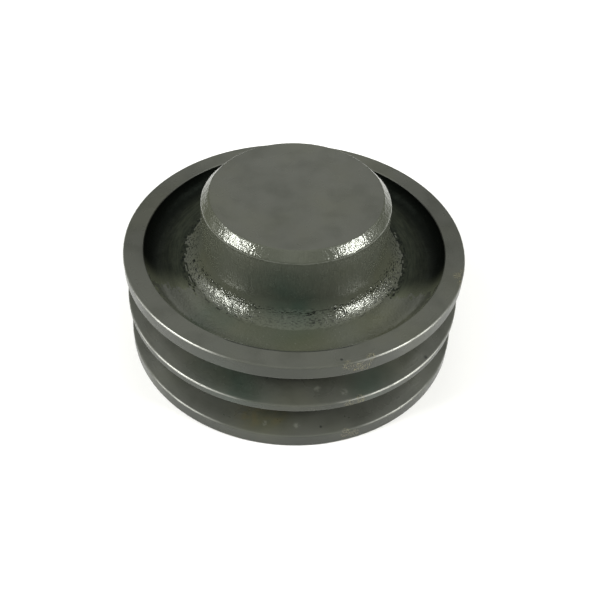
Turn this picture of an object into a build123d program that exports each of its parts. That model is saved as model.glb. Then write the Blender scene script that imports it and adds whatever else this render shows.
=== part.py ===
from build123d import *
from math import asin, cos, radians, sin, sqrt, tan
import os

# Two-groove V-belt pulley with a solid, one-sided hub, bored and tapped to clamp on a motor shaft.
# Millimetres, +Z up along the pulley's axis, origin at the centre of the back face. The hub end points up.

# ---- rim and belt grooves (classical B section, 17 mm belt) ----
RIM_R = 75.0  # outside radius of the three lands
RIM_WIDTH = 50.0
GROOVE_PITCH = 20.0  # from the middle of one groove to the next, 1 mm over the section's usual 19
GROOVE_TOP = 16.4  # width at the outside diameter
GROOVE_DEPTH = 14.3
GROOVE_ANGLE = 34.0  # included angle for a pitch diameter under 190
GROOVE_ROOT_ROUND = 1.2
LAND_ROUND = 0.9  # on every edge of the three lands

# ---- front recess, web and flared hub, as cast ----
RECESS_R = 66.2  # inner edge of the rim's front face
RECESS_DEPTH = 7.5
RECESS_SWEEP = 7.0  # concave radius between the recess wall and the web
RECESS_BEVEL = 0.3
FLARE_FOOT_R = 47.8
FLARE_TOP_Z = 53.0
HUB_R = 40.7  # at the top of the flare
HUB_DRAFT = 0.6  # degrees
HUB_TOP_Z = 76.0
HUB_BEVEL_R = 3.5
HUB_BEVEL_Z = 3.9

# ---- back recess between the hub and the rim ----
BACK_INNER_R = 43.5
BACK_OUTER_R = 53.5
BACK_DEPTH = 18.0
BACK_DRAFT = 4.0
BACK_SWEEP = 3.2

# ---- blind shaft bore with keyway and run-out groove ----
BORE_R = 19.0
BORE_END_Z = 68.0
BORE_BEVEL = 1.0
RUNOUT_R = 22.6
RUNOUT_WIDTH = 4.5
KEYWAY_WIDTH = 10.0
KEYWAY_DEPTH = 3.3
KEYWAY_AZIMUTH = 135.0

# ---- tapped holes and M10 x 16 hex-socket grub screws with cup points ----
SCREW_R = 4.95
SCREW_GAP = 0.05  # radial, in place of the thread
SCREW_LENGTH = 16.0
SCREW_Z = 58.0
SCREW_TIP_R = BORE_R + 0.5  # the tips stop just short of the bore
SCREW_END_BEVEL = 1.0
SOCKET_FLATS = 5.0
SOCKET_DEPTH = 6.0
CUP_R = 2.75
CUP_DEPTH = 1.2
SCREW_AZIMUTHS = {"keyway_grub_screw": KEYWAY_AZIMUTH, "shaft_grub_screw": KEYWAY_AZIMUTH - 90.0}
HOLE_MOUTH_BEVEL = 0.8

AXIS = Axis.Z
PAST = 1.0  # how far a cutter runs past the surface that it opens
NEAR = 0.01  # two sizes closer than this are the same


def revolved(outline):
    """A closed outline in radius and height, turned about the pulley's axis."""
    return revolve(Plane.XZ * make_face(outline), AXIS)


def polygon(*points):
    """A closed outline of straight sides."""
    return Polyline(*points, close=True)


def casting_blank():
    """The casting's outside, from the rim over the recess, web, flare and hub, still without its cuts."""
    web_z = RIM_WIDTH - RECESS_DEPTH
    sweep_r = RECESS_R - RECESS_SWEEP
    flare_rise = FLARE_TOP_Z - web_z
    flare_run = FLARE_FOOT_R - HUB_R
    flare_radius = (flare_run**2 + flare_rise**2) / (2 * flare_run)
    half_turn = asin(flare_rise / flare_radius) / 2
    flare_middle = (
        HUB_R + flare_radius * (1 - cos(half_turn)),
        FLARE_TOP_Z - flare_radius * sin(half_turn),
    )
    bevel_z = HUB_TOP_Z - HUB_BEVEL_Z
    bevel_r = HUB_R - (bevel_z - FLARE_TOP_Z) * tan(radians(HUB_DRAFT))
    sweep_middle = RECESS_SWEEP * (1 - sqrt(0.5))
    outline = [
        Polyline((0, 0), (RIM_R, 0), (RIM_R, RIM_WIDTH), (RECESS_R, RIM_WIDTH), (RECESS_R, web_z + RECESS_SWEEP)),
        ThreePointArc(
            (RECESS_R, web_z + RECESS_SWEEP),
            (RECESS_R - sweep_middle, web_z + sweep_middle),
            (sweep_r, web_z),
        ),
        Line((sweep_r, web_z), (FLARE_FOOT_R, web_z)),
        ThreePointArc((FLARE_FOOT_R, web_z), flare_middle, (HUB_R, FLARE_TOP_Z)),
        Polyline(
            (HUB_R, FLARE_TOP_Z),
            (bevel_r, bevel_z),
            (bevel_r - HUB_BEVEL_R, HUB_TOP_Z),
            (0, HUB_TOP_Z),
            (0, 0),
        ),
    ]
    return revolved(outline)


def circles(solid, radius, low_z=-PAST, high_z=HUB_TOP_Z + PAST):
    """The solid's circular edges of one radius, between two heights."""
    edges = solid.edges().filter_by(GeomType.CIRCLE).filter_by_position(AXIS, low_z, high_z)
    return [edge for edge in edges if abs(edge.radius - radius) < NEAR]


def belt_groove(middle_z):
    """Cutter for one V groove, with rounded root corners."""
    lean = GROOVE_DEPTH * tan(radians(GROOVE_ANGLE / 2))
    root = GROOVE_TOP / 2 - lean
    mouth = GROOVE_TOP / 2 + PAST * tan(radians(GROOVE_ANGLE / 2))
    root_r = RIM_R - GROOVE_DEPTH
    cutter = revolved(
        polygon(
            (root_r, middle_z - root),
            (RIM_R + PAST, middle_z - mouth),
            (RIM_R + PAST, middle_z + mouth),
            (root_r, middle_z + root),
        )
    )
    return fillet(circles(cutter, root_r), GROOVE_ROOT_ROUND)


def back_recess():
    """Cutter for the drafted ring-shaped pocket in the back, between the hub and the rim."""
    lean = BACK_DEPTH * tan(radians(BACK_DRAFT))
    cutter = revolved(
        polygon(
            (BACK_INNER_R, 0),
            (BACK_OUTER_R, 0),
            (BACK_OUTER_R - lean, BACK_DEPTH),
            (BACK_INNER_R + lean, BACK_DEPTH),
        )
    )
    floor_edges = circles(cutter, BACK_OUTER_R - lean) + circles(cutter, BACK_INNER_R + lean)
    return fillet(floor_edges, BACK_SWEEP)


def shaft_bore():
    """Cutter for the blind bore with its bevelled mouth, and the run-out groove at its closed end."""
    runout_z = BORE_END_Z - RUNOUT_WIDTH
    return revolved(
        polygon(
            (0, 0),
            (BORE_R + BORE_BEVEL, 0),
            (BORE_R, BORE_BEVEL),
            (BORE_R, runout_z),
            (RUNOUT_R, runout_z),
            (RUNOUT_R, BORE_END_Z),
            (0, BORE_END_Z),
        )
    )


def keyway():
    """Cutter for the keyway, which runs out into the groove at the bore's closed end."""
    reach = BORE_R + KEYWAY_DEPTH
    length = BORE_END_Z - RUNOUT_WIDTH / 2
    slot = Pos(reach / 2, 0, length / 2) * Box(reach, KEYWAY_WIDTH, length)
    return Rot(0, 0, KEYWAY_AZIMUTH) * slot


def radial(solid, azimuth):
    """Stand a solid made along +Z on the screw's radial line, with its own origin on the pulley's axis."""
    return Rot(0, 0, azimuth) * Pos(0, 0, SCREW_Z) * Rot(0, 90, 0) * solid


def tapped_hole(azimuth):
    """Cutter for one radial hole through the hub's wall, bevelled where it breaks the hub's side."""
    hole_r = SCREW_R + SCREW_GAP
    start = BORE_R / 2
    depth = HUB_R + PAST - start
    hole = Pos(0, 0, start + depth / 2) * Cylinder(hole_r, depth)
    mouth_r = hole_r + 2 * HOLE_MOUTH_BEVEL
    mouth = Pos(0, 0, HUB_R - HOLE_MOUTH_BEVEL / 2) * Cone(hole_r, mouth_r, 2 * HOLE_MOUTH_BEVEL)
    return radial(hole + mouth, azimuth)


def grub_screw(azimuth):
    """One headless screw: bevelled ends, hexagon socket outwards and a cup point towards the shaft."""
    body = Pos(0, 0, SCREW_TIP_R + SCREW_LENGTH / 2) * Cylinder(SCREW_R, SCREW_LENGTH)
    body = chamfer(body.edges().filter_by(GeomType.CIRCLE), SCREW_END_BEVEL)
    end_r = SCREW_TIP_R + SCREW_LENGTH
    socket = Pos(0, 0, end_r) * extrude(
        RegularPolygon(SOCKET_FLATS / 2, 6, major_radius=False), -SOCKET_DEPTH
    )
    cup = Pos(0, 0, SCREW_TIP_R + CUP_DEPTH / 2) * Cone(CUP_R, CUP_R / 4, CUP_DEPTH)
    return radial(body - socket - cup, azimuth)


def pulley_casting():
    """The whole casting with its machined and cast cuts."""
    casting = casting_blank()
    for side in (-1, 1):
        casting -= belt_groove(RIM_WIDTH / 2 + side * GROOVE_PITCH / 2)
    casting = fillet(circles(casting, RIM_R), LAND_ROUND)
    casting = chamfer(circles(casting, RECESS_R, RIM_WIDTH - NEAR), RECESS_BEVEL)
    casting -= back_recess()
    casting -= shaft_bore()
    casting -= keyway()
    for azimuth in SCREW_AZIMUTHS.values():
        casting -= tapped_hole(azimuth)
    return casting


os.makedirs("parts", exist_ok=True)
export_step(pulley_casting(), "parts/pulley_casting.step")
for name, azimuth in SCREW_AZIMUTHS.items():
    export_step(grub_screw(azimuth), f"parts/{name}.step")
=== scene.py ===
"""Looks of the two-groove V-belt pulley: one painted iron casting and its two grub screws."""

import math

import bmesh
import bpy
from mathutils import Matrix, Vector, noise


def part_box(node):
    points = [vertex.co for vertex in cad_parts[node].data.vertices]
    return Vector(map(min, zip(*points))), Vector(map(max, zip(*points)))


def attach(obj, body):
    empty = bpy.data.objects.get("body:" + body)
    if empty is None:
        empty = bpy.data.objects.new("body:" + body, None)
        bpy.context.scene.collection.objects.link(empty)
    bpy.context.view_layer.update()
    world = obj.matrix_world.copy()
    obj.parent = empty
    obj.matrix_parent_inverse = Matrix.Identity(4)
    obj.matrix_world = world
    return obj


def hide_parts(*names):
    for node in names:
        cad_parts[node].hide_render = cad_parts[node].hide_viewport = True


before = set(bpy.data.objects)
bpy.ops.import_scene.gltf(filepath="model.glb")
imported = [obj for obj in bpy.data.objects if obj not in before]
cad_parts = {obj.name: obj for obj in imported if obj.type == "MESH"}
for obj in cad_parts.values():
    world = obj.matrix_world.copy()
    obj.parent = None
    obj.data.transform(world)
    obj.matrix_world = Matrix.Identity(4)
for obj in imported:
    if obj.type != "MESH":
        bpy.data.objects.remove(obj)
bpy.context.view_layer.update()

MM = 0.001

# ---- the casting, in millimetres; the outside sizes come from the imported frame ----
CASTING_LOW, CASTING_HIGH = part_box("pulley_casting")
RIM_R = CASTING_HIGH[0] / MM
TOP_Z = CASTING_HIGH[2] / MM
RIM_WIDTH = 50.0
GROOVE_MIDDLES = (35.0, 15.0)
GROOVE_TOP = 16.4
GROOVE_DEPTH = 14.3
GROOVE_LEAN = math.radians(17.0)
LAND_ROUND = 0.9
ROOT_ROUND = 1.2
RECESS_R = 66.2
SMALL_BEVEL = 0.3  # on the rim's inner lip and the back pocket's edges
WEB_Z = 42.5
SWEEP = 7.0
FLARE_FOOT_R = 47.8
FLARE_TOP_Z = 53.0
HUB_R = 40.7
HUB_TOP_R = 40.5
BEVEL_RUN = 3.5
BEVEL_DROP = 3.9
BACK_INNER_R = 43.5
BACK_OUTER_R = 53.5
BACK_DEPTH = 18.0
BACK_LEAN = math.radians(4.0)
BACK_SWEEP = 3.2
BORE_R = 19.0
BORE_BEVEL = 1.0
BORE_END_Z = 68.0
RUNOUT_R = 22.6
RUNOUT_Z = 63.5
KEYWAY_WIDTH = 10.0
KEYWAY_REACH = 22.3

# ---- the grub screws ----
SCREWS = {"keyway_grub_screw": ("keyway_screw", 135.0), "shaft_grub_screw": ("shaft_screw", 45.0)}
SCREW_Z = 58.0
SCREW_TIP_R = 19.5
SCREW_LENGTH = 16.0
SCREW_R = 4.95
HOLE_R = 5.0
HOLE_MOUTH_BEVEL = 0.8
THREAD_PITCH = 1.5
THREAD_DEPTH = 0.75
SOCKET_FLATS = 5.0
SOCKET_DEPTH = 6.0

# ---- mesh density: faces round the axis, then steps along the profile in millimetres ----
AROUND = 480
FINE = 0.58
COARSE = 3.0
ROUND_STEP = 0.15
LAND_STEP = 1.2
GUARD = 0.25  # a narrow row beside each rounded edge keeps the flats flat

# ---- sky: strengths, elevations in degrees where it begins, and its strip's slant from edge to middle ----
SKY_SIDES = 0.34
SKY_STRIP = 0.88
SKY_STARTS = (14, 22)
STRIP_EDGE = (0.34, 0.14)

# ---- lights: azimuth and elevation in degrees, width and height in metres, power in watts ----
LIGHTS = {
    "window_left": (-160, 32, 0.54, 0.14, 13.5),
    "window_right": (-17, 32, 0.46, 0.14, 12.0),
    "fill_left": (-175, 40, 1.0, 0.8, 5.0),
    "fill_right": (-5, 40, 1.0, 0.8, 5.0),
}
LIGHT_DISTANCE = 1.2
LIGHT_TINT = (1.0, 1.0, 0.968, 1)

# ---- camera: distance in rim radii, elevation and roll in degrees, lens in millimetres, frame's shift ----
CAMERA_DISTANCE = 5.5176
CAMERA_ELEVATION = 45.408
CAMERA_ROLL = 2.428
CAMERA_LENS = 51.35
CAMERA_SHIFT = (0.0145, 0.0327)

FLOOR_HALF = 3.0  # metres

TURNED, CAST, BARE, SHADED_RECESS = 0, 1, 2, 3  # the casting's material slots

# ---- painted shade on the recess's floor: its inner radius, and its front limit at X = 0 with that line's slant ----
# The front limit follows a border of light and dark: behind it the floor is painted shade, and in front of it
# painted light. The front limit follows a border of light and dark in the photograph that may be a reflection
# and not soot.
SHADE_R = 48.6
SHADE_FRONT = -48.0
SHADE_SLANT = 0.45

LIP_R = RECESS_R + 0.5  # a thin line of grime on the rim's inner lip
EDGE_ROUGHENING = 0.06  # of the paint on the lands' edges


# ------------------------------------------------------------------ profile

def run(start, end, step, kind):
    """Points along a straight stretch of the profile, without its start."""
    length = math.dist(start, end)
    count = max(1, round(length / step))
    shares = [i / count for i in range(1, count + 1)]
    if kind != CAST and length > 4 * GUARD:
        shares = sorted({GUARD / length, 1 - GUARD / length, *shares})
    return [(start[0] + (end[0] - start[0]) * t, start[1] + (end[1] - start[1]) * t, kind) for t in shares]


def bend(centre, radius, start, end, step, kind):
    """Points along an arc between two angles in degrees, without its start."""
    count = max(3, round(abs(math.radians(end - start)) * radius / step))
    points = []
    for i in range(1, count + 1):
        a = math.radians(start + (end - start) * i / count)
        points.append((centre[0] + radius * math.cos(a), centre[1] + radius * math.sin(a), kind))
    return points


def land_and_groove(top, groove_middle):
    """From a land's upper edge down its face and round the groove below it, to the next land's upper edge."""
    mouth = GROOVE_TOP / 2
    root = mouth - GROOVE_DEPTH * math.tan(GROOVE_LEAN)
    root_r = RIM_R - GROOVE_DEPTH
    upper, lower = groove_middle + mouth, groove_middle - mouth
    turn = 90 - math.degrees(GROOVE_LEAN)
    inset = LAND_ROUND * math.tan(math.radians(turn / 2))
    rim_middle, root_middle = RIM_R - LAND_ROUND, root_r + ROOT_ROUND
    root_inset = ROOT_ROUND * math.tan(math.radians(turn / 2))
    points = bend((rim_middle, top - inset if top < RIM_WIDTH else top - LAND_ROUND), LAND_ROUND,
                  turn if top < RIM_WIDTH else 90, 0, ROUND_STEP, TURNED)
    points += run(points[-1][:2], (RIM_R, upper + inset), LAND_STEP, TURNED)
    points += bend((rim_middle, upper + inset), LAND_ROUND, 0, -turn, ROUND_STEP, TURNED)
    root_start = bend((root_middle, groove_middle + root - root_inset), ROOT_ROUND, turn, 180, 0.4, TURNED)
    first = (root_middle + ROOT_ROUND * math.cos(math.radians(turn)),
             groove_middle + root - root_inset + ROOT_ROUND * math.sin(math.radians(turn)))
    points += run(points[-1][:2], first, COARSE, TURNED)
    points += root_start
    points += run(points[-1][:2], (root_r, groove_middle - root + root_inset), COARSE, TURNED)
    points += bend((root_middle, groove_middle - root + root_inset), ROOT_ROUND, 180, 360 - turn, 0.4, TURNED)
    below = (rim_middle + LAND_ROUND * math.cos(math.radians(turn)),
             lower - inset + LAND_ROUND * math.sin(math.radians(turn)))
    points += run(points[-1][:2], below, COARSE, TURNED)
    return points, lower


def casting_profile():
    """The casting's half section, from the middle of the hub's end round to the bore's closed end."""
    flare_rise, flare_run = FLARE_TOP_Z - WEB_Z, FLARE_FOOT_R - HUB_R
    flare_r = (flare_run**2 + flare_rise**2) / (2 * flare_run)
    flare_turn = math.degrees(math.asin(flare_rise / flare_r))
    bevel_z = TOP_Z - BEVEL_DROP
    sweep_r = RECESS_R - SWEEP
    end_r = HUB_TOP_R - BEVEL_RUN
    points = run((0.0, TOP_Z), (end_r - 0.2, TOP_Z), COARSE, TURNED)
    points += run((end_r - 0.2, TOP_Z), (end_r + 0.2, TOP_Z - 0.25), 0.3, CAST)
    points += run(points[-1][:2], (HUB_TOP_R - 0.18, bevel_z + 0.25), FINE, CAST)
    points += run(points[-1][:2], (HUB_TOP_R, bevel_z - 0.2), 0.5, CAST)
    points += run((HUB_TOP_R, bevel_z - 0.2), (HUB_R, FLARE_TOP_Z), FINE, CAST)
    points += bend((HUB_R + flare_r, FLARE_TOP_Z), flare_r, 180, 180 + flare_turn, FINE, CAST)
    points += run((FLARE_FOOT_R, WEB_Z), (sweep_r, WEB_Z), FINE, CAST)
    points += bend((sweep_r, WEB_Z + SWEEP), SWEEP, -90, 0, 0.8, CAST)
    lip_z, lip_r = RIM_WIDTH - SMALL_BEVEL, RECESS_R + SMALL_BEVEL
    points += run((RECESS_R, WEB_Z + SWEEP), (RECESS_R, lip_z), 0.3, TURNED)
    points += run((RECESS_R, lip_z), (lip_r, RIM_WIDTH), 0.3, TURNED)
    points += run((lip_r, RIM_WIDTH), (RIM_R - LAND_ROUND, RIM_WIDTH), 1.6, TURNED)
    top = RIM_WIDTH
    for middle in GROOVE_MIDDLES:
        stretch, top = land_and_groove(top, middle)
        points += stretch
    turn = 90 - math.degrees(GROOVE_LEAN)
    inset = LAND_ROUND * math.tan(math.radians(turn / 2))
    points += bend((RIM_R - LAND_ROUND, top - inset), LAND_ROUND, turn, 0, ROUND_STEP, TURNED)
    points += run((RIM_R, top - inset), (RIM_R, LAND_ROUND), LAND_STEP, TURNED)
    points += bend((RIM_R - LAND_ROUND, LAND_ROUND), LAND_ROUND, 0, -90, ROUND_STEP, TURNED)
    points += run((RIM_R - LAND_ROUND, 0.0), (BACK_OUTER_R + SMALL_BEVEL, 0.0), 2.0, TURNED)
    points += back_pocket()
    points += run((BACK_INNER_R - SMALL_BEVEL, 0.0), (BORE_R + BORE_BEVEL, 0.0), COARSE, TURNED)
    points += run((BORE_R + BORE_BEVEL, 0.0), (BORE_R, BORE_BEVEL), 0.5, BARE)
    points += run((BORE_R, BORE_BEVEL), (BORE_R, RUNOUT_Z), 8.0, BARE)
    points += run((BORE_R, RUNOUT_Z), (RUNOUT_R, RUNOUT_Z), 2.0, BARE)
    points += run((RUNOUT_R, RUNOUT_Z), (RUNOUT_R, BORE_END_Z), 2.0, BARE)
    points += run((RUNOUT_R, BORE_END_Z), (0.0, BORE_END_Z), 6.0, BARE)
    return points


def back_pocket():
    """The drafted ring-shaped pocket in the back, from the rim's edge round to the hub's edge."""
    lean = (BACK_DEPTH - BACK_SWEEP) * math.tan(BACK_LEAN)
    outer, inner = BACK_OUTER_R - lean, BACK_INNER_R + lean
    swept_z = BACK_DEPTH - BACK_SWEEP
    points = run((BACK_OUTER_R + SMALL_BEVEL, 0.0), (BACK_OUTER_R, SMALL_BEVEL), 0.3, TURNED)
    points += run((BACK_OUTER_R, SMALL_BEVEL), (outer, swept_z), 1.3, CAST)
    points += bend((outer - BACK_SWEEP, swept_z), BACK_SWEEP, 0, 90, 1.0, CAST)
    points += run((outer - BACK_SWEEP, BACK_DEPTH), (inner + BACK_SWEEP, BACK_DEPTH), 1.3, CAST)
    points += bend((inner + BACK_SWEEP, swept_z), BACK_SWEEP, 90, 180, 1.0, CAST)
    points += run((inner, swept_z), (BACK_INNER_R, SMALL_BEVEL), 1.3, CAST)
    points += run((BACK_INNER_R, SMALL_BEVEL), (BACK_INNER_R - SMALL_BEVEL, 0.0), 0.3, TURNED)
    return points


# ------------------------------------------------------------------ cast skin

def smooth(low, high, value):
    """From 0 at low to 1 at high, with an even start and end."""
    t = min(max((value - low) / (high - low), 0.0), 1.0)
    return t * t * (3 - 2 * t)


def coarseness(place, radius, z):
    """How coarse the sand-cast skin is at a place, from 0 to about 1: coarsest round the flare's foot."""
    if z < WEB_Z - 2:
        return 0.3
    foot = math.exp(-(((radius - FLARE_FOOT_R + 2.5) / 3.6) ** 2)) * smooth(55.0, 50.0, z)
    patches = 0.65 + 0.9 * max(noise.noise(place / 14.0 + Vector((2, 6, 1))) + 0.2, 0.0)
    front = smooth(-20.0, -48.0, place.y) * smooth(26.0, 10.0, abs(place.x + 2.0))
    bevel = smooth(TOP_Z - BEVEL_DROP - 1.5, TOP_Z - BEVEL_DROP, z)
    lip = math.exp(-(((radius - HUB_R - 1.6) / 0.7) ** 2)) * smooth(-5.0, -30.0, place.y)
    return 0.15 + 0.62 * foot * patches * (1 - 0.5 * front) + 0.26 * bevel + 0.45 * lip * patches


def cast_skin(place, radius, z):
    """Outward bump in millimetres of the painted sand-cast skin."""
    swell = noise.noise(place / 7.0) * 0.08
    lumps = noise.noise(place / 2.4 + Vector((7, 3, 5))) * 0.16
    grain = noise.noise(place / 1.3 + Vector((1, 9, 4))) * 0.08
    return swell + (lumps + grain) * coarseness(place, radius, z)


def land_edge(radius, z):
    """1 on the rounded edges of the three lands, 0 elsewhere."""
    if radius < RIM_R - 1.3 * LAND_ROUND:
        return 0.0
    mouths = [middle + side * GROOVE_TOP / 2 for middle in GROOVE_MIDDLES for side in (-1, 1)]
    return float(min(abs(z - edge) for edge in (*mouths, 0.0, RIM_WIDTH)) < LAND_ROUND)


def in_recess_shade(radius, z, angle):
    """Whether a place gets the painted shade: the recess's floor outside the flare's ragged foot, not in
    front.
    """
    along = Vector((math.cos(angle), math.sin(angle), 0)) * 16.0
    across = Vector((0, 0, radius / 0.8))
    frayed = noise.noise(along + across) * 3.2
    reach = radius * math.sin(angle) - SHADE_SLANT * radius * abs(math.cos(angle))
    front = smooth(SHADE_FRONT + 4.0, SHADE_FRONT - 4.0, reach + frayed)
    return z > WEB_Z - 1 and radius + frayed > SHADE_R + 16.0 * front


def revolved_casting():
    """The casting as one closed mesh turned about Z, with its cast skin moved out and in."""
    rows = casting_profile()
    verts = [(0, 0, TOP_Z * MM)]
    for i, (radius, z, kind) in enumerate(rows[:-1]):
        before, after = rows[max(i - 1, 0)], rows[i + 1]
        along = Vector((after[0] - before[0], after[1] - before[1])).normalized()
        out_r, out_z = -along.y, along.x
        skinned = kind == CAST and before[2] == CAST and after[2] == CAST
        for j in range(AROUND):
            a = 2 * math.pi * j / AROUND
            place = Vector((radius * math.cos(a), radius * math.sin(a), z))
            if skinned:
                outward = Vector((out_r * math.cos(a), out_r * math.sin(a), out_z))
                place = place - outward * cast_skin(place, radius, z)
            verts.append(tuple(place * MM))
    verts.append((0, 0, BORE_END_Z * MM))
    last, final_row = len(verts) - 1, 1 + (len(rows) - 2) * AROUND
    faces, kinds = [], []
    for j in range(AROUND):
        after = (j + 1) % AROUND
        faces += [(0, 1 + j, 1 + after), (last, final_row + after, final_row + j)]
        kinds += [TURNED, BARE]
    for i in range(len(rows) - 2):
        a, b = 1 + i * AROUND, 1 + (i + 1) * AROUND
        for j in range(AROUND):
            after = (j + 1) % AROUND
            faces.append((a + j, b + j, b + after, a + after))
            radius, z, kind = rows[i + 1]
            # Cast faces on the recess's floor outside the flare's foot take the painted shade's slot.
            kinds.append(SHADED_RECESS if kind == CAST and in_recess_shade(radius, z, 2 * math.pi * j / AROUND) else kind)
    return make_object("cast_pulley", verts, faces, kinds)


def make_object(name, verts, faces, kinds=None):
    """A smooth-shaded mesh object; kinds gives each face's material slot."""
    mesh = bpy.data.meshes.new(name)
    mesh.from_pydata(verts, [], faces)
    if kinds:
        mesh.polygons.foreach_set("material_index", kinds)
    mesh.polygons.foreach_set("use_smooth", [True] * len(faces))
    mesh.update()
    made = bpy.data.objects.new(name, mesh)
    bpy.context.scene.collection.objects.link(made)
    return made


def turned_rod(name, rows, around, place):
    """A closed solid from rows of (radius of angle, height) in millimetres, put in place by a matrix."""
    verts = [(0, 0, rows[0][1])]
    for radius_at, height in rows:
        for j in range(around):
            a = 2 * math.pi * j / around
            radius = radius_at(a) if callable(radius_at) else radius_at
            verts.append((radius * math.cos(a), radius * math.sin(a), height))
    verts.append((0, 0, rows[-1][1]))
    last, final_row = len(verts) - 1, 1 + (len(rows) - 1) * around
    faces = []
    for j in range(around):
        after = (j + 1) % around
        faces += [(0, 1 + after, 1 + j), (last, final_row + j, final_row + after)]
    for i in range(len(rows) - 1):
        a, b = 1 + i * around, 1 + (i + 1) * around
        faces += [(a + j, a + (j + 1) % around, b + (j + 1) % around, b + j) for j in range(around)]
    return make_object(name, [tuple(place @ Vector(v) * MM) for v in verts], faces)


def thread_radius(crest, height, low=0.0, high=99.0):
    """Radius round a right-hand V thread at one height, held between two limits."""
    def radius_at(angle):
        turn = (height / THREAD_PITCH - angle / (2 * math.pi)) % 1.0
        return min(max(crest - THREAD_DEPTH * abs(2 * turn - 1), low), high)
    return radius_at


def on_screw_line(azimuth):
    """From a rod made along +Z to the screw's radial line, its zero on the pulley's axis."""
    turn = Matrix.Rotation(math.radians(azimuth), 4, "Z") @ Matrix.Translation((0, 0, SCREW_Z))
    return turn @ Matrix.Rotation(math.radians(90), 4, "Y")


def hole_cutter(azimuth):
    """A threaded rod that taps the radial hole, widening to a bevel where it leaves the hub."""
    step = THREAD_PITCH / 8
    start, mouth, end = BORE_R / 2, HUB_R - HOLE_MOUTH_BEVEL, HUB_R + 2.0
    rows = []
    for i in range(round((mouth - start) / step) + 1):
        height = start + i * step
        rows.append((thread_radius(HOLE_R, height), height))
    rows += [(HOLE_R, mouth + 0.1), (HOLE_R + end - mouth, end)]
    return turned_rod("hole_cutter", rows, 48, on_screw_line(azimuth))


def keyway_cutter():
    """A box for the keyway, from below the back face up into the run-out groove."""
    cutter = bpy.data.meshes.new("keyway_cutter")
    shape = bmesh.new()
    bmesh.ops.create_cube(shape, size=1.0)
    low, high = -2.0, (RUNOUT_Z + BORE_END_Z) / 2
    stretch = Matrix.Diagonal((KEYWAY_REACH, KEYWAY_WIDTH, high - low, 1))
    place = Matrix.Translation((KEYWAY_REACH / 2, 0, (high + low) / 2)) @ stretch
    turn = Matrix.Rotation(math.radians(SCREWS["keyway_grub_screw"][1]), 4, "Z")
    shape.transform(Matrix.Scale(MM, 4) @ turn @ place)
    shape.to_mesh(cutter)
    shape.free()
    made = bpy.data.objects.new("keyway_cutter", cutter)
    bpy.context.scene.collection.objects.link(made)
    return made


def cut(body, cutter):
    """Take the cutter out of the body for good; the cut faces are bare iron."""
    cutter.data.polygons.foreach_set("material_index", [BARE] * len(cutter.data.polygons))
    taken = body.modifiers.new("cut", "BOOLEAN")
    taken.operation, taken.solver, taken.material_mode = "DIFFERENCE", "EXACT", "INDEX"
    taken.object = cutter
    settled = bpy.data.meshes.new_from_object(body.evaluated_get(bpy.context.evaluated_depsgraph_get()))
    body.modifiers.clear()
    body.data = settled
    bpy.data.objects.remove(cutter)


def build_casting():
    """The casting with its materials, cuts, and the two point attributes that the paint reads."""
    body = revolved_casting()
    for made in (turned_enamel(), cast_enamel(), bare_iron(), painted_recess_shade()):
        body.data.materials.append(made)
    cut(body, keyway_cutter())
    for _, azimuth in SCREWS.values():
        cut(body, hole_cutter(azimuth))
    mesh = body.data
    mesh.name = "cast_pulley"
    mesh.set_sharp_from_angle(angle=math.radians(40))
    places = [vertex.co / MM for vertex in mesh.vertices]
    coarse = [coarseness(place, math.hypot(place.x, place.y), place.z) for place in places]
    mesh.attributes.new("coarse", "FLOAT", "POINT").data.foreach_set("value", coarse)
    edges = [land_edge(math.hypot(place.x, place.y), place.z) for place in places]
    mesh.attributes.new("edge", "FLOAT", "POINT").data.foreach_set("value", edges)
    return body


def build_screw(name, azimuth):
    """An M10 grub screw: hexagon socket outwards, rolled thread, cup point inwards."""
    flat = SOCKET_FLATS / 2
    low, high = SCREW_TIP_R, SCREW_TIP_R + SCREW_LENGTH
    minor = SCREW_R - THREAD_DEPTH

    def hexagon(grow):
        return lambda a: (flat + grow) / math.cos((a + math.pi / 6) % (math.pi / 3) - math.pi / 6)

    rows = [(0.3, low + 1.2), (1.6, low + 0.62), (2.5, low + 0.08), (2.62, low), (2.85, low)]
    step = THREAD_PITCH / 10
    lead_in = minor - 2.85
    for i in range(1, round(SCREW_LENGTH / step)):
        height = low + i * step
        reach = min(2.85 + (height - low) * 1.15, SCREW_R - 0.75 + (high - height))
        rows.append((thread_radius(SCREW_R, height, min(minor - lead_in, reach), reach), height))
    rows += [(3.95, high), (3.35, high), (3.1, high - 0.05)]
    rows += [(hexagon(0.22), high - 0.25), (hexagon(0), high - 0.5)]
    rows += [(hexagon(0), high - SOCKET_DEPTH + 0.3), (hexagon(-0.25), high - SOCKET_DEPTH)]
    rows += [(0.4, high - SOCKET_DEPTH - 1.1)]
    screw = turned_rod(name, rows, 72, on_screw_line(azimuth))
    screw.data.set_sharp_from_angle(angle=math.radians(38))
    return screw


# ------------------------------------------------------------------ materials

GREY = (0.050, 0.052, 0.044, 1)
CAST_GREY = (0.054, 0.058, 0.045, 1)
SHADED_GREY = (0.011, 0.013, 0.008, 1)
GREEN = (0.026, 0.040, 0.031, 1)
OLIVE = (0.053, 0.055, 0.034, 1)
PALE_SPECK = (0.13, 0.135, 0.115, 1)
RUST_STAIN = (0.075, 0.062, 0.026, 1)
CHIPPED = (0.24, 0.22, 0.13, 1)
# Near black: grime under chips, in dots and on the lip's line, and painted shade in pits and in the recess's
# corner.
GRIME_AND_SHADE = (0.004, 0.005, 0.004, 1)
# Painted shade on the recess's floor, darker in streaks, and painted light on its front part.
RECESS_SHADE = (0.022, 0.025, 0.017, 1)
RECESS_DEEP_SHADE = (0.008, 0.010, 0.007, 1)
RECESS_LIT = (0.080, 0.086, 0.060, 1)
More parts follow.
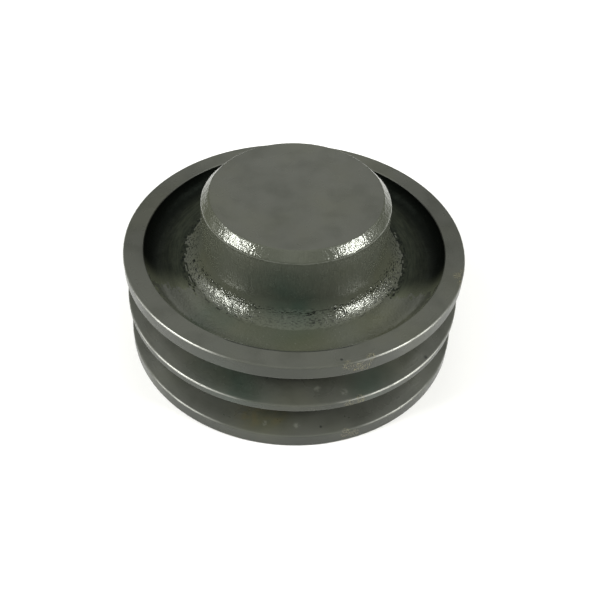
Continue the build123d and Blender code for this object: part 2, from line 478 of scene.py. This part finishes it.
# Bared iron on the lands' edges, there for painted highlights.
BARED_HIGHLIGHT_IRON = (0.50, 0.50, 0.47, 1)
ENAMEL_TINT = (0.97, 1.0, 0.93, 1)
# Specular tint of the painted shade on the recess's floor.
SHADE_TINT = (0.8, 1.0, 0.8, 1)
OILED_IRON = (0.42, 0.41, 0.39, 1)
TARNISHED_IRON = (0.25, 0.225, 0.19, 1)
OXIDE = (0.045, 0.045, 0.05, 1)
RUBBED_OXIDE = (0.16, 0.155, 0.15, 1)
FLOOR_TONES = ((0.91, 0.91, 0.91, 1), (0.94, 0.94, 0.94, 1))


class Shader:
    """A material's node tree, with short calls for the few node kinds used here."""

    def __init__(self, name):
        self.material = bpy.data.materials.new(name)
        self.material.use_nodes = True
        self.tree = self.material.node_tree
        self.surface = self.tree.nodes["Principled BSDF"]
        self.place = self.node("ShaderNodeTexCoord").outputs["Object"]

    def node(self, kind, **settings):
        made = self.tree.nodes.new(kind)
        for key, value in settings.items():
            setattr(made, key, value)
        return made

    def join(self, value, socket):
        if isinstance(value, bpy.types.NodeSocket):
            self.tree.links.new(value, socket)
        else:
            socket.default_value = value

    def noise(self, scale, detail=3.0, stretch=None, offset=0.0):
        """Noise from 0 to 1 whose grain is 1/scale metres; stretch scales the place along X, Y and Z."""
        place = self.place
        if stretch or offset:
            mapping = self.node("ShaderNodeMapping")
            mapping.inputs["Location"].default_value = (offset, offset, offset)
            mapping.inputs["Scale"].default_value = stretch or (1, 1, 1)
            self.join(place, mapping.inputs["Vector"])
            place = mapping.outputs["Vector"]
        made = self.node("ShaderNodeTexNoise")
        self.join(place, made.inputs["Vector"])
        made.inputs["Scale"].default_value = scale
        made.inputs["Detail"].default_value = detail
        return made.outputs["Fac"]

    def between(self, value, low, high, into=(0.0, 1.0)):
        """Smoothly from into[0] at low to into[1] at high."""
        made = self.node("ShaderNodeMapRange", interpolation_type="SMOOTHSTEP")
        self.join(value, made.inputs["Value"])
        made.inputs["From Min"].default_value = low
        made.inputs["From Max"].default_value = high
        made.inputs["To Min"].default_value = into[0]
        made.inputs["To Max"].default_value = into[1]
        return made.outputs["Result"]

    def math(self, operation, *values):
        made = self.node("ShaderNodeMath", operation=operation)
        for value, socket in zip(values, made.inputs):
            self.join(value, socket)
        return made.outputs[0]

    def times(self, first, second):
        return self.math("MULTIPLY", first, second)

    def paint(self, colour):
        self.join(colour, self.surface.inputs["Base Color"])

    def roughen(self, value):
        self.join(value, self.surface.inputs["Roughness"])

    def mix(self, share, first, second):
        made = self.node("ShaderNodeMix", data_type="RGBA")
        self.join(share, made.inputs["Factor"])
        self.join(first, made.inputs["A"])
        self.join(second, made.inputs["B"])
        return made.outputs["Result"]

    def attribute(self, name):
        return self.node("ShaderNodeAttribute", attribute_name=name).outputs["Fac"]

    def axis_distance(self):
        """Distance from the pulley's axis, in metres."""
        flat = self.node("ShaderNodeVectorMath", operation="MULTIPLY")
        self.join(self.place, flat.inputs[0])
        flat.inputs[1].default_value = (1, 1, 0)
        length = self.node("ShaderNodeVectorMath", operation="LENGTH")
        self.join(flat.outputs["Vector"], length.inputs[0])
        return length.outputs["Value"]

    def dashes(self, length, width, offset=0.0):
        """Noise from 0 to 1 in short dashes round the axis; their length and width in metres."""
        turn = self.node("ShaderNodeVectorMath", operation="NORMALIZE")
        flat = self.node("ShaderNodeVectorMath", operation="MULTIPLY")
        self.join(self.place, flat.inputs[0])
        flat.inputs[1].default_value = (1, 1, 0)
        self.join(flat.outputs["Vector"], turn.inputs[0])
        wide = self.node("ShaderNodeVectorMath", operation="SCALE")
        self.join(turn.outputs["Vector"], wide.inputs[0])
        wide.inputs["Scale"].default_value = FLARE_FOOT_R * MM / length
        section = self.math("SUBTRACT", self.axis_distance(), self.part(self.place, "Z"))
        rise = self.node("ShaderNodeCombineXYZ")
        self.join(self.math("MULTIPLY_ADD", section, 1 / width, offset), rise.inputs["Z"])
        place = self.node("ShaderNodeVectorMath", operation="ADD")
        self.join(wide.outputs["Vector"], place.inputs[0])
        self.join(rise.outputs["Vector"], place.inputs[1])
        made = self.node("ShaderNodeTexNoise")
        self.join(place.outputs["Vector"], made.inputs["Vector"])
        made.inputs["Scale"].default_value = 1.0
        made.inputs["Detail"].default_value = 2.0
        return made.outputs["Fac"]

    def part(self, vector, axis):
        """One of a vector's X, Y and Z."""
        split = self.node("ShaderNodeSeparateXYZ")
        self.join(vector, split.inputs["Vector"])
        return split.outputs[axis]

    def tilt(self):
        """The upward share of a face's direction: 1 where it looks up, 0 sideways, -1 down."""
        return self.part(self.node("ShaderNodeTexCoord").outputs["Normal"], "Z")

    def upward(self):
        """1 on a face that looks up, 0 on one that looks sideways or down."""
        return self.between(self.tilt(), 0.2, 0.8)

    def spots(self, marks, core=0.25):
        """1 within the core share of each mark's size, fading to 0 at its size."""
        total = 0.0
        for azimuth, radius, z, size in marks:
            a = math.radians(azimuth)
            away = self.node("ShaderNodeVectorMath", operation="DISTANCE")
            self.join(self.place, away.inputs[0])
            away.inputs[1].default_value = Vector((math.cos(a) * radius, math.sin(a) * radius, z)) * MM
            here = self.between(away.outputs["Value"], size * MM, size * MM * core)
            total = self.math("MAXIMUM", here, total)
        return total

    def bump(self, layers):
        """Chained bumps; a layer is a height from 0 to 1 and its depth in millimetres."""
        normal = None
        for value, depth in layers:
            made = self.node("ShaderNodeBump")
            made.inputs["Strength"].default_value = 1.0
            made.inputs["Distance"].default_value = depth * MM
            self.join(value, made.inputs["Height"])
            if normal is not None:
                self.join(normal, made.inputs["Normal"])
            normal = made.outputs["Normal"]
        self.join(normal, self.surface.inputs["Normal"])


# Marks and patches: azimuth in degrees, radius, height and size in millimetres.
CHIPS = [
    (-72.5, 75, 48.5, 3.0), (-69.5, 75, 47.0, 3.2), (-67.0, 75, 46.5, 3.6), (-65.0, 74.5, 49.8, 2.6),
    (-70.5, 75, 24.9, 3.0), (-67.0, 75, 25.4, 3.0), (-70.5, 75, 5.0, 3.2), (-67.5, 75, 3.6, 3.2),
    (-15.0, 72.6, 50, 2.8), (-18.0, 74.8, 49, 2.6), (-12.0, 74.5, 50, 2.0),
]
PALE_SMUDGES = [
    (-80.2, 68, 28.9, 2.0), (-86.6, 70.3, 8.2, 1.9), (-97.7, 70.3, 8.2, 1.7), (-71.5, 71, 28.0, 2.2),
]
DARK_DOTS = [
    (-78.5, 71.5, 7.9, 0.8), (-38.5, 73.5, 27.2, 1.2), (-136.7, 63.7, 50, 1.0), (-74.0, 72.5, 50, 0.9),
]
STAINS = [(-103, 67, 9.2, 9.0), (-95, 66, 9.5, 7.0)]
GREEN_PATCHES = [
    (-92, 41, 52, 25), (-128, 55, 42, 16), (-110, 70, 29, 26), (-60, 72, 28, 18), (90, 45, 50, 30),
]
# Painted highlights: bared iron patches on the lands' edges, placed where the highlights fall; that the metal
# is bare is a guess.
WORN_AND_HIGHLIGHT_EDGES = [(-50, 75, 30, 35), (-130, 75, 32, 37)]
OLIVE_PATCHES = [
    (-86, 54, 42, 22), (-45, 52, 43, 22), (-158, 45, 50, 15), (-20, 46, 50, 22), (-97, 69, 9, 16),
]


def enamel_colour(shader, base):
    """Dark grey enamel that drifts to green and olive in broad patches, as thick paint over iron does."""
    ragged = shader.between(shader.noise(60, 3.0), 0.25, 0.75, (0.25, 1.0))
    green = shader.times(shader.spots(GREEN_PATCHES, core=0.0), ragged)
    olive = shader.times(shader.spots(OLIVE_PATCHES, core=0.0), ragged)
    drift = shader.between(shader.noise(30, 3.0, offset=3.7), 0.45, 0.75, (0.0, 0.35))
    colour = shader.mix(drift, base, OLIVE)
    colour = shader.mix(shader.times(olive, 0.9), colour, OLIVE)
    return shader.mix(green, colour, GREEN)


def turned_enamel():
    """Paint on the machined faces: smooth, with faint turning rings, chips and stains, painted shade on faces
    that look sideways or down, and painted highlights on the lands' edges.
    """
    shader = Shader("enamel_turned")
    # Painted shade: faces that look sideways or down are painted far darker than faces that look up.
    colour = enamel_colour(shader, shader.mix(shader.upward(), SHADED_GREY, GREY))
    haze = shader.between(shader.noise(95, 4.0, offset=1.3), 0.4, 0.75, (0.0, 0.3))
    colour = shader.mix(haze, colour, SHADED_GREY)
    stain_edge = shader.between(shader.noise(240, 4.0), 0.35, 0.62)
    stain = shader.times(shader.spots(STAINS), stain_edge)
    colour = shader.mix(shader.times(stain, 0.45), colour, RUST_STAIN)
    chipped = shader.between(shader.spots(CHIPS), 0.05, 0.6)
    chips = shader.times(chipped, shader.between(shader.noise(2300, 3.0), 0.52, 0.60))
    under = shader.times(chipped, shader.between(shader.noise(1700, 3.0, offset=4.1), 0.54, 0.62))
    colour = shader.mix(shader.times(under, 0.9), colour, GRIME_AND_SHADE)
    colour = shader.mix(shader.times(chips, 0.7), colour, CHIPPED)
    smudge = shader.spots(PALE_SMUDGES)
    smudge = shader.times(smudge, shader.between(shader.noise(900), 0.40, 0.65))
    colour = shader.mix(shader.times(smudge, 0.55), colour, PALE_SPECK)
    colour = shader.mix(shader.spots(DARK_DOTS), colour, GRIME_AND_SHADE)
    away = shader.math("ABSOLUTE", shader.math("SUBTRACT", shader.axis_distance(), LIP_R * MM))
    lip = shader.between(away, 0.4 * MM, 0.12 * MM)
    lip = shader.times(lip, shader.between(shader.noise(160), 0.4, 0.55, (0.5, 1.0)))
    lip = shader.times(lip, shader.between(shader.part(shader.place, "Y"), -59 * MM, -63 * MM))
    on_disc = shader.between(shader.part(shader.place, "Z"), (RIM_WIDTH - 1) * MM, (RIM_WIDTH - 0.5) * MM)
    colour = shader.mix(shader.times(lip, on_disc), colour, GRIME_AND_SHADE)
    edge = shader.attribute("edge")
    slope = shader.math("ABSOLUTE", shader.math("SUBTRACT", shader.tilt(), 0.45))
    # Paler lands' edges, both wear and painted highlight, on the slope of each rounded edge that catches the
    # lights.
    worn_and_highlit = shader.times(edge, shader.between(slope, 0.42, 0.12))
    colour = shader.mix(shader.times(worn_and_highlit, 0.28), colour, PALE_SPECK)
    patchy = shader.between(shader.noise(110, 4.0, offset=7.7), 0.3, 0.6, (0.35, 0.9))
    # Painted highlight: bared iron on parts of those edges, placed where the highlights fall.
    bared_highlight = shader.times(worn_and_highlit, shader.times(shader.spots(WORN_AND_HIGHLIGHT_EDGES, core=0.5), patchy))
    colour = shader.mix(bared_highlight, colour, BARED_HIGHLIGHT_IRON)
    shader.join(shader.times(bared_highlight, 0.9), shader.surface.inputs["Metallic"])
    shader.paint(colour)
    rough = shader.between(shader.noise(60, 4.0, offset=5.1), 0.3, 0.7, (0.24, 0.33))
    rough = shader.math("MULTIPLY_ADD", edge, EDGE_ROUGHENING, rough)
    shader.roughen(shader.math("ADD", rough, shader.times(chips, 0.35)))
    shader.surface.inputs["Specular Tint"].default_value = ENAMEL_TINT
    rings = shader.node("ShaderNodeTexWave", wave_type="RINGS", rings_direction="Z")
    shader.join(shader.place, rings.inputs["Vector"])
    rings.inputs["Scale"].default_value = 210
    shader.bump([
        (shader.noise(330, 2.0), 0.035),
        (rings.outputs["Fac"], 0.003),
        (chips, -0.12),
    ])
    return shader.material


def cast_enamel():
    """Paint on the sand-cast skin: glossier, with painted shade making the pits round the flare's foot black.
    """
    shader = Shader("enamel_cast")
    colour = enamel_colour(shader, CAST_GREY)
    radius = shader.axis_distance()
    coarse = shader.attribute("coarse")
    dashes = shader.dashes(1.7 * MM, 0.62 * MM)
    # Painted shade: the pits round the flare's foot are painted black.
    shaded_pits = shader.times(shader.between(dashes, 0.46, 0.39), shader.between(coarse, 0.2, 0.6))
    shaded_pits = shader.times(shaded_pits, shader.between(radius, (HUB_R + 0.3) * MM, (HUB_R + 2.0) * MM))
    colour = shader.mix(shaded_pits, colour, GRIME_AND_SHADE)
    speck = shader.between(shader.noise(1300, 3.0, offset=2.2), 0.68, 0.74, (0.0, 0.4))
    colour = shader.mix(speck, colour, PALE_SPECK)
    shader.paint(colour)
    bevel_z = TOP_Z - BEVEL_DROP
    side = shader.between(radius, (HUB_R + 1.0) * MM, HUB_R * MM, (0.0, 0.14))
    under = shader.between(shader.part(shader.place, "Z"), bevel_z * MM, (bevel_z - 2) * MM)
    side = shader.times(side, under)
    shader.surface.inputs["Specular Tint"].default_value = ENAMEL_TINT
    gloss = shader.between(shader.noise(150, 4.0, offset=5.1), 0.3, 0.7, (0.09, 0.15))
    shader.roughen(shader.math("ADD", gloss, side))
    shader.bump([
        (shader.times(shader.noise(1250, 2.0), coarse), 0.24),
        (shader.times(dashes, coarse), 0.16),
        (shader.noise(700, 3.0, offset=2.0), 0.05),
        (shader.noise(900, 2.0, stretch=(1, 1, 0.12), offset=0.4), 0.13),
    ])
    return shader.material


def painted_recess_shade():
    """Painted shade on the recess's floor: darkest in the corner, with painted light on its front part."""
    shader = Shader("painted_recess_shade")
    radius = shader.axis_distance()
    aside = shader.math("ABSOLUTE", shader.part(shader.place, "X"))
    reach = shader.math("MULTIPLY_ADD", aside, -SHADE_SLANT, shader.part(shader.place, "Y"))
    front = shader.between(reach, (SHADE_FRONT + 11) * MM, (SHADE_FRONT - 1) * MM)
    streaks = shader.between(shader.dashes(6.0 * MM, 0.8 * MM, offset=3.0), 0.3, 0.7, (0.0, 0.8))
    # Painted shade, with darker streaks.
    colour = shader.mix(streaks, RECESS_SHADE, RECESS_DEEP_SHADE)
    # Painted light: lighter towards the front.
    colour = shader.mix(shader.times(front, 0.9), colour, RECESS_LIT)
    # Painted shade: darkest in the corner, except in front.
    corner = shader.between(radius, (RECESS_R - 9) * MM, (RECESS_R - 3) * MM)
    behind = shader.math("SUBTRACT", 1.0, front)
    colour = shader.mix(shader.times(corner, behind), colour, GRIME_AND_SHADE)
    ring = shader.math("ABSOLUTE", shader.math("SUBTRACT", radius, SHADE_R * MM))
    # Painted shade: pits round the shade's inner edge are painted black.
    shaded_pits = shader.between(shader.dashes(1.7 * MM, 0.8 * MM), 0.52, 0.42)
    shaded_pits = shader.times(shaded_pits, shader.between(ring, 3.0 * MM, 1.0 * MM))
    colour = shader.mix(shaded_pits, colour, GRIME_AND_SHADE)
    shader.paint(colour)
    shader.surface.inputs["Specular IOR Level"].default_value = 0.12
    shader.surface.inputs["Specular Tint"].default_value = SHADE_TINT
    shader.roughen(shader.between(shader.noise(300, 3.0), 0.3, 0.7, (0.35, 0.55)))
    shader.bump([(shader.noise(900, 3.0), 0.14)])
    return shader.material


def bare_iron():
    """The bored and tapped surfaces, bare and lightly oiled, with fine boring rings."""
    shader = Shader("bare_iron")
    tarnish = shader.between(shader.noise(140, 4.0), 0.35, 0.7)
    shader.paint(shader.mix(tarnish, OILED_IRON, TARNISHED_IRON))
    shader.surface.inputs["Metallic"].default_value = 1.0
    shader.roughen(shader.between(shader.noise(90, 3.0), 0.3, 0.7, (0.28, 0.42)))
    rings = shader.node("ShaderNodeTexWave", wave_type="BANDS", bands_direction="Z")
    shader.join(shader.place, rings.inputs["Vector"])
    rings.inputs["Scale"].default_value = 700
    rings.inputs["Distortion"].default_value = 0.6
    shader.bump([(rings.outputs["Fac"], 0.012), (shader.noise(1800, 2.0), 0.01)])
    return shader.material


def black_oxide():
    """The grub screws' dark oil-finished steel, worn brighter where the oil is thin."""
    shader = Shader("black_oxide")
    worn_and_highlit = shader.between(shader.noise(700, 4.0), 0.55, 0.75)
    shader.paint(shader.mix(worn_and_highlit, OXIDE, RUBBED_OXIDE))
    shader.surface.inputs["Metallic"].default_value = 0.9
    shader.roughen(shader.between(shader.noise(500, 3.0), 0.3, 0.7, (0.3, 0.48)))
    shader.bump([(shader.noise(2600, 3.0), 0.01)])
    return shader.material


def floor_material():
    """A matt floor, almost white."""
    shader = Shader("pale_floor")
    shader.paint(shader.mix(shader.noise(3, 2.0), *FLOOR_TONES))
    shader.surface.inputs["Roughness"].default_value = 0.6
    return shader.material


# ------------------------------------------------------------------ camera, floor, light

def aimed(place):
    """A matrix at a place, with its -Z towards the centre of the back face."""
    return Matrix.Translation(place) @ (-place).to_track_quat("-Z", "Y").to_matrix().to_4x4()


def add_camera():
    """At the photograph's distance and height, aimed at the centre of the back face."""
    distance, elevation = CAMERA_DISTANCE * RIM_R * MM, math.radians(CAMERA_ELEVATION)
    place = Vector((0, -math.cos(elevation) * distance, math.sin(elevation) * distance))
    data = bpy.data.cameras.new("camera")
    data.sensor_width = 36.0
    data.lens = CAMERA_LENS
    data.shift_x, data.shift_y = CAMERA_SHIFT
    camera = bpy.data.objects.new("camera", data)
    camera.matrix_world = aimed(place) @ Matrix.Rotation(math.radians(CAMERA_ROLL), 4, "Z")
    bpy.context.scene.collection.objects.link(camera)
    bpy.context.scene.camera = camera


def add_floor():
    """A square floor under the pulley."""
    mesh = bpy.data.meshes.new("floor")
    half = FLOOR_HALF
    corners = [(-half, -half, 0), (half, -half, 0), (half, half, 0), (-half, half, 0)]
    mesh.from_pydata(corners, [], [(0, 1, 2, 3)])
    floor = bpy.data.objects.new("floor", mesh)
    floor.data.materials.append(floor_material())
    bpy.context.scene.collection.objects.link(floor)


def add_light(name, azimuth, elevation, size, power):
    """A rectangular light aimed at the pulley."""
    a, e = math.radians(azimuth), math.radians(elevation)
    place = Vector((math.cos(a) * math.cos(e), math.sin(a) * math.cos(e), math.sin(e))) * LIGHT_DISTANCE
    data = bpy.data.lights.new(name, "AREA")
    data.shape = "RECTANGLE"
    data.size, data.size_y = size
    data.energy = power
    data.color = LIGHT_TINT[:3]
    light = bpy.data.objects.new(name, data)
    light.matrix_world = aimed(place)
    bpy.context.scene.collection.objects.link(light)


def add_sky():
    """A dim sky above a dark horizon, with a brighter strip overhead that runs from front to back."""
    world = bpy.data.worlds.new("studio")
    world.use_nodes = True
    tree = world.node_tree

    def node(kind, *values, **settings):
        made = tree.nodes.new(kind)
        for key, value in settings.items():
            setattr(made, key, value)
        for value, socket in zip(values, made.inputs):
            if isinstance(value, bpy.types.NodeSocket):
                tree.links.new(value, socket)
            else:
                socket.default_value = value
        return made.outputs[0]

    split = tree.nodes.new("ShaderNodeSeparateXYZ")
    tree.links.new(tree.nodes.new("ShaderNodeTexCoord").outputs["Generated"], split.inputs["Vector"])
    low, high = (math.sin(math.radians(angle)) for angle in SKY_STARTS)
    even = {"interpolation_type": "SMOOTHSTEP"}
    above = node("ShaderNodeMapRange", split.outputs["Z"], low, high, **even)
    aside = node("ShaderNodeMath", split.outputs["X"], operation="ABSOLUTE")
    slant = node("ShaderNodeMath", aside, split.outputs["Z"], operation="DIVIDE")
    strip = node("ShaderNodeMapRange", slant, *STRIP_EDGE, SKY_SIDES, SKY_STRIP, **even)
    strength = node("ShaderNodeMath", above, strip, operation="MULTIPLY")
    sky = tree.nodes["Background"]
    sky.inputs["Color"].default_value = LIGHT_TINT
    tree.links.new(strength, sky.inputs["Strength"])
    bpy.context.scene.world = world


def add_lights():
    """The sky, and a bright window beside a broad fill to each side."""
    add_sky()
    for name, (azimuth, elevation, width, height, power) in LIGHTS.items():
        add_light(name, azimuth, elevation, (width, height), power)


# ------------------------------------------------------------------ the whole

casting = build_casting()
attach(casting, "pulley")
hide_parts("pulley_casting")

oxide = black_oxide()
for node, (body, azimuth) in SCREWS.items():
    screw = build_screw(f"{node}_m10", azimuth)
    screw.data.materials.append(oxide)
    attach(screw, body)
    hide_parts(node)

bpy.context.scene.view_settings.view_transform = "Standard"
add_camera()
add_floor()
add_lights()
